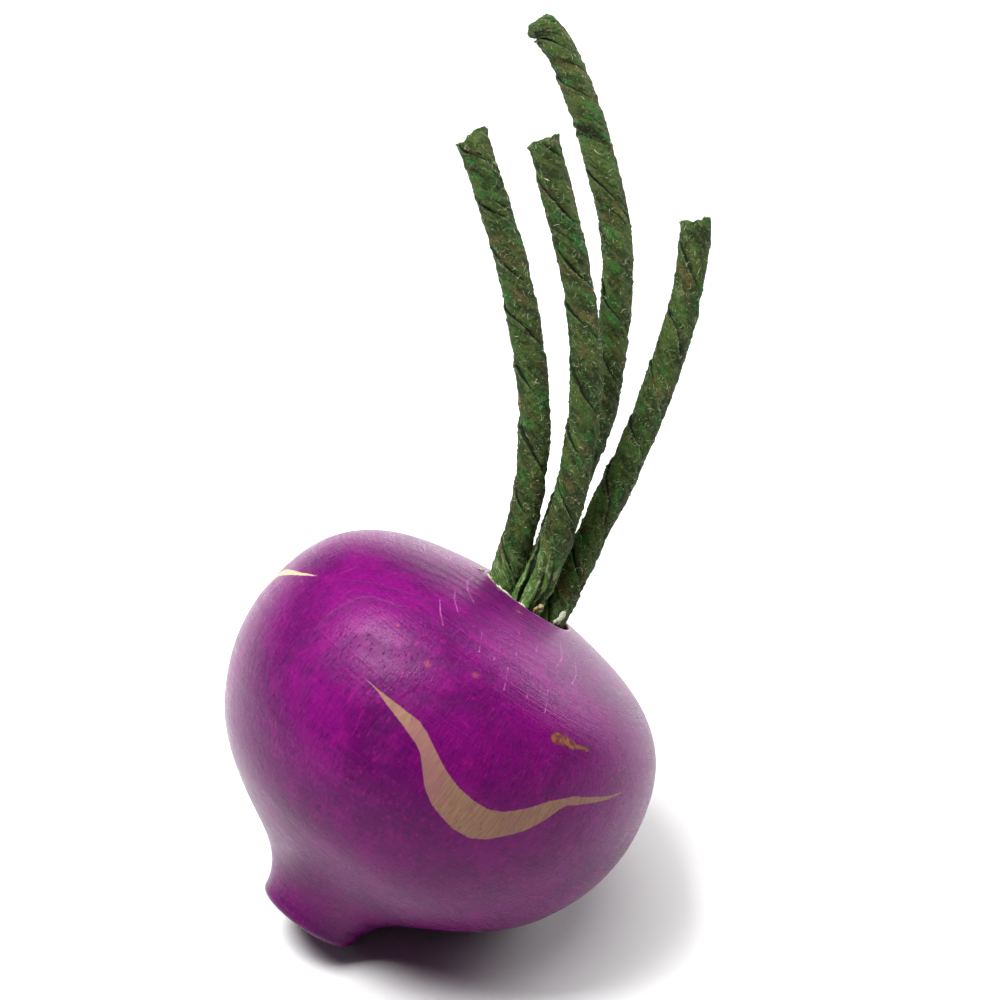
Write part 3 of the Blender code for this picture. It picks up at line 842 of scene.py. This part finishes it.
def paper_material(name, tint):
    g = Graph(name)
    p = g.object_mm()
    lip = g.attribute("lip")
    deep = g.attribute("deep")
    along = g.attribute("along")
    around = g.attribute("around")
    # colour patches are drawn out along the folds
    wound = g.combine(g.mul(around, 3.2), g.mul(along, 0.34), tint)
    patch = g.noise(wound, 1.0, 3.0, 0.6)
    patch2 = g.noise(g.vec('ADD', wound, (7.3, 2.1, 5.0)), 1.35, 4.0, 0.65)
    patch3 = g.noise(g.vec('ADD', wound, (1.7, 9.4, 3.0)), 0.8, 3.0, 0.6)
    streak = g.noise(g.combine(g.mul(around, 17.0), g.mul(along, 0.75), tint), 1.0, 3.0, 0.65)
    speck = g.noise(p, 3.6, 4.0, 0.75)
    fuzz = g.noise(p, 8.0, 3.0, 0.7)
    blotch = g.noise(p, 1.3, 3.0, 0.65)
    col = g.mix(g.ramp(patch, 0.40, 0.60), (0.024, 0.042, 0.009), (0.068, 0.108, 0.022))
    col = g.mix(g.mul(g.ramp(patch2, 0.52, 0.66), 0.80), col, (0.018, 0.175, 0.026))
    col = g.mix(g.mul(g.ramp(patch3, 0.53, 0.68), 0.72), col, (0.118, 0.080, 0.028))
    col = g.mix(g.mul(g.ramp(blotch, 0.52, 0.66), 0.55), col, (0.125, 0.160, 0.042))
    col = g.mix(g.mul(g.ramp(streak, 0.54, 0.76), 0.45), col, (0.130, 0.150, 0.055))
    col = g.mix(g.mul(g.ramp(streak, 0.28, 0.44, 1.0, 0.0), 0.55), col, (0.012, 0.020, 0.007))
    col = g.mix(g.mul(g.ramp(speck, 0.57, 0.70), 0.62), col, (0.200, 0.275, 0.100))
    col = g.mix(g.mul(g.ramp(speck, 0.34, 0.46, 1.0, 0.0), 0.80), col, (0.006, 0.010, 0.003))
    # the fold lips painted paler: a painted highlight
    col = g.mix(g.mul(lip, g.mul(g.ramp(speck, 0.42, 0.62), 0.85)), col, (0.200, 0.255, 0.130))
    col = g.vec('SCALE', col, scale=0.80)
    # the foot and the cut tips painted brighter green with pale streaks: painted light, lifting the foot out of the
    # shade between the cords and in the hole
    base = g.attribute("foot")
    col = g.mix(g.mul(base, g.add(0.35, g.mul(g.ramp(blotch, 0.42, 0.60), 0.45))), col, (0.105, 0.225, 0.045))
    col = g.mix(g.mul(g.mul(base, g.ramp(streak, 0.52, 0.64)), 0.9), col, (0.420, 0.470, 0.280))
    # seams, creases and sunk layers painted near black: painted shade
    col = g.mix(g.mul(deep, 0.92), col, (0.005, 0.008, 0.004))
    g.put(g.bsdf.inputs["Base Color"], col)
    g.put(g.bsdf.inputs["Roughness"], g.add(0.66, g.mul(g.sub(speck, 0.5), 0.40)))
    g.bsdf.inputs["Specular IOR Level"].default_value = 0.16
    h = g.add(g.mul(streak, 0.7), g.add(g.mul(speck, 0.9), g.mul(fuzz, 0.7)))
    g.put(g.bsdf.inputs["Normal"], g.bump(h, 0.00040, 1.0))
    return g.mat


def fibre_material():
    g = Graph("loose_paper_fibre")
    tone = g.attribute("tone")
    p = g.object_mm()
    n = g.noise(p, 2.0, 2.0, 0.6)
    col = g.mix(g.ramp(tone, 0.20, 0.85), (0.080, 0.150, 0.040), (0.400, 0.470, 0.250))
    col = g.mix(g.ramp(tone, 0.88, 0.98), col, (0.640, 0.640, 0.480))
    col = g.mix(g.mul(g.ramp(n, 0.45, 0.65), 0.5), col, (0.110, 0.160, 0.060))
    g.put(g.bsdf.inputs["Base Color"], col)
    g.put(g.bsdf.inputs["Roughness"], g.add(0.62, g.mul(n, 0.25)))
    g.put(g.bsdf.inputs["Normal"], g.bump(n, 0.00002, 0.6))
    return g.mat


# ---------------------------------------------------------------------------
# glue in the hole, smears at its mouth, and a loose flake
# ---------------------------------------------------------------------------
def make_glue_pool():
    rings, cols = 26, 120
    top_r = np.linspace(0.0, HOLE_R - 0.05, rings)[1:]
    ang = np.linspace(0, 2 * math.pi, cols, endpoint=False)
    seats = np.array(list(SEAT.values()))
    verts, faces = [], []

    def height(x, y):
        r = np.hypot(x, y)
        h = 8.0 + 0.9 * np.exp(-(HOLE_R - r) / 0.45)
        for sx, sy in seats:
            d = np.hypot(x - sx, y - sy) - 2.0
            h = h + 1.1 * np.exp(-np.clip(d, 0, None) / 0.35)
        return h + 0.18 * noise2(x * 0.8 + 20, y * 0.8 + 20, 77)

    verts.append((0.0, 0.0, float(height(np.zeros(1), np.zeros(1))[0])))
    for r in top_r:
        x, y = r * np.cos(ang), r * np.sin(ang)
        for q in zip(x, y, height(x, y)):
            verts.append(q)
    for z in (7.0, 5.5, 4.2, 3.6):
        for a in ang:
            verts.append(((HOLE_R - 0.05) * math.cos(a), (HOLE_R - 0.05) * math.sin(a), z))
    total = len(top_r) + 4
    verts.append((0.0, 0.0, 3.6))
    for j in range(cols):
        k = (j + 1) % cols
        faces.append((0, 1 + j, 1 + k))
        for i in range(total - 1):
            a = 1 + i * cols
            faces.append((a + j, a + cols + j, a + cols + k, a + k))
        a = 1 + (total - 1) * cols
        faces.append((len(verts) - 1, a + k, a + j))
    return new_mesh_object("glue_pool", world_points(verts) * MM, faces, sharp=50)


def blob(name, centre, axes, frame_rows, seed, rough, detail=(36, 22)):
    """An irregular closed lump: an ellipsoid pushed in and out."""
    cols, rows = detail
    verts, faces = [], []
    u = np.linspace(0, 2 * math.pi, cols, endpoint=False)
    basis = np.array(frame_rows, float)
    for i in range(1, rows):
        t = math.pi * i / rows
        d = np.stack([np.sin(t) * np.cos(u), np.sin(t) * np.sin(u), np.full(cols, math.cos(t))], axis=1)
        k = 1 + rough * noise2(u * 5 / (2 * math.pi), np.full(cols, i * 0.42), seed, wrap=5) \
            + 0.5 * rough * noise2(u * 12 / (2 * math.pi), np.full(cols, i * 0.95), seed + 1, wrap=12)
        verts.append((d * k[:, None] * np.array(axes)) @ basis)
    verts = [np.array([[0, 0, axes[2]]]) @ basis] + verts + [np.array([[0, 0, -axes[2]]]) @ basis]
    pts = np.vstack(verts) + np.array(centre)
    n = rows - 1
    for j in range(cols):
        k = (j + 1) % cols
        faces.append((0, 1 + j, 1 + k))
        for i in range(n - 1):
            a = 1 + i * cols
            faces.append((a + j, a + cols + j, a + cols + k, a + k))
        a = 1 + (n - 1) * cols
        faces.append((len(pts) - 1, a + k, a + j))
    return new_mesh_object(name, world_points(pts) * MM, faces)


def glue_material(name, base, dark, clear):
    g = Graph(name)
    p = g.object_mm()
    a = g.noise(p, 1.1, 3.0, 0.6)
    b = g.noise(p, 5.0, 3.0, 0.6)
    col = g.mix(g.ramp(a, 0.38, 0.62), base, dark)
    col = g.mix(g.mul(g.ramp(b, 0.56, 0.70), 0.6), col, (0.30, 0.33, 0.20))
    g.put(g.bsdf.inputs["Base Color"], col)
    g.put(g.bsdf.inputs["Roughness"], g.add(clear, g.mul(b, 0.30)))
    g.bsdf.inputs["Subsurface Weight"].default_value = 0.0
    g.put(g.bsdf.inputs["Normal"], g.bump(g.add(a, b), 0.00012, 0.8))
    return g.mat


# ---------------------------------------------------------------------------
# camera, floor and light
# ---------------------------------------------------------------------------
def place_stage():
    elevation = math.radians(34.988)
    view = Vector((0.0, -math.cos(elevation), math.sin(elevation)))
    up = Vector((0.0, math.sin(elevation), math.cos(elevation)))
    cam_at = CENTRE + view * 499.26 - Vector((1.0, 0.0, 0.0)) * -6.897 - up * -27.168
    cam = bpy.data.cameras.new("camera")
    cam.sensor_width = 36.0
    cam.lens = 4058.3 * 36.0 / 1000.0
    cam.clip_start = 0.01
    cam.clip_end = 20.0
    cam.dof.use_dof = False
    cam_obj = bpy.data.objects.new("camera", cam)
    cam_obj.location = cam_at * MM
    cam_obj.rotation_euler = (math.pi / 2 - elevation, 0.0, 0.0)
    bpy.context.scene.collection.objects.link(cam_obj)
    bpy.context.scene.camera = cam_obj

    floor = new_mesh_object("floor", [(-2.5, -2.5, -0.0002), (2.5, -2.5, -0.0002), (2.5, 2.5, -0.0002), (-2.5, 2.5, -0.0002)],
                            [(0, 1, 2, 3)], smooth=False)
    g = Graph("pale_floor")
    p = g.object_mm()
    n = g.noise(p, 0.02, 2.0)
    g.put(g.bsdf.inputs["Base Color"], g.mix(n, (0.62, 0.62, 0.62), (0.64, 0.64, 0.64)))
    g.put(g.bsdf.inputs["Roughness"], g.add(0.60, g.mul(n, 0.10)))
    g.bsdf.inputs["Specular IOR Level"].default_value = 0.2
    floor.data.materials.append(g.mat)

    target = CENTRE * MM

    def area(name, azimuth, elev, distance, size_x, size_y, watts, glossy=True):
        """azimuth from +Y towards +X, in degrees."""
        az, el = math.radians(azimuth), math.radians(elev)
        d = Vector((math.sin(az) * math.cos(el), math.cos(az) * math.cos(el), math.sin(el)))
        light = bpy.data.lights.new(name, 'AREA')
        light.shape = 'RECTANGLE'
        light.size = size_x
        light.size_y = size_y
        light.energy = watts
        obj = bpy.data.objects.new(name, light)
        obj.location = target + d * distance
        obj.rotation_euler = d.to_track_quat('Z', 'Y').to_euler()
        obj.visible_glossy = glossy
        bpy.context.scene.collection.objects.link(obj)

    area("key", -96, 68, 0.80, 0.38, 0.38, 13.6)
    area("back_right", 54, 20, 0.80, 0.52, 0.40, 5.4)
    area("left_fill", -80, 24, 0.90, 0.34, 0.50, 0.35)
    area("overhead", 20, 84, 1.10, 1.20, 1.20, 18.0, glossy=False)

    world = bpy.data.worlds.new("studio")
    world.use_nodes = True
    world.node_tree.nodes["Background"].inputs[0].default_value = (1.0, 1.0, 1.0, 1.0)
    world.node_tree.nodes["Background"].inputs[1].default_value = 0.05
    bpy.context.scene.world = world
    bpy.context.scene.view_settings.view_transform = 'Standard'


# ---------------------------------------------------------------------------
# build
# ---------------------------------------------------------------------------
def finish_piece(obj, mat, node=None):
    obj.data.materials.append(mat)
    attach(obj, "root")
    if node:
        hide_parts(node)


root = make_root()
finish_piece(root, root_material(), "body")

CORDS = [
    Cord("stalk_left", 14.5, 0.6, 101, 0.62, 1.2, 0.34, foot_amount=0.6, foot_top=19.0),
    Cord("stalk_centre", 15.0, 2.1, 202, 0.22, 1.9, 0.34, loose=1.0, foot_amount=1.0, foot_top=23.0),
    Cord("stalk_tall", 14.0, 4.0, 303, 0.25, -1.7, 0.30, bend=(-1.5, 0.9, -1.5), bend_run=6.5, trim=1.3),
    Cord("stalk_right", 15.5, 5.2, 404, 0.30, 0.9, 0.52),
]
fibre_mat = fibre_material()
for n, cord in enumerate(CORDS):
    piece = cord.build()
    finish_piece(piece, paper_material("green_paper_%d" % n, 3.7 * n), cord.name)
    hairs = cord.fibres(2300, 44)
    finish_piece(hairs, fibre_mat)

glue_mat = glue_material("dried_glue", (0.62, 0.60, 0.46), (0.40, 0.40, 0.26), 0.30)
pool = make_glue_pool()
finish_piece(pool, glue_mat, "glue_plug")

bits_mat = glue_material("glue_crumbs", (0.42, 0.43, 0.33), (0.24, 0.27, 0.16), 0.45)
knot_mat = glue_material("glue_knot", (0.24, 0.19, 0.09), (0.12, 0.06, 0.02), 0.35)
rng = np.random.RandomState(31)
BITS = []
for n in range(15):
    turn = math.radians(148.0 + 8.4 * n + rng.uniform(-3.0, 3.0))
    reach = 5.95 + rng.uniform(-0.25, 0.20)
    BITS.append(((reach * math.cos(turn), reach * math.sin(turn), 18.12 + rng.uniform(-0.15, 0.10)),
                 (0.30 + 0.40 * rng.rand(), 0.24 + 0.16 * rng.rand(), 0.12 + 0.16 * rng.rand()), turn + math.pi / 2, bits_mat))
BITS.append(((-6.75, -0.55, 18.20), (0.34, 0.26, 0.16), 0.4, bits_mat))
BITS.append(((-7.15, -0.95, 18.12), (0.14, 0.12, 0.08), 0.1, bits_mat))
BITS.append(((4.42, -2.12, 19.10), (0.36, 0.17, 0.86), 0.15, bits_mat))
BITS.append(((4.15, -2.25, 18.35), (0.24, 0.18, 0.34), 0.6, bits_mat))
BITS.append(((1.64, -4.35, 19.05), (0.34, 0.30, 0.36), 0.5, knot_mat))
BITS.append(((1.30, -4.45, 18.45), (0.26, 0.24, 0.40), 0.5, knot_mat))
for n, (centre, size, turn, mat) in enumerate(BITS):
    rows = [(math.cos(turn), math.sin(turn), 0.0), (-math.sin(turn), math.cos(turn), 0.0), (0.0, 0.0, 1.0)]
    bit = blob("glue_bit_%02d" % n, centre, size, rows, 500 + 3 * n, 0.34)
    finish_piece(bit, mat)

place_stage()
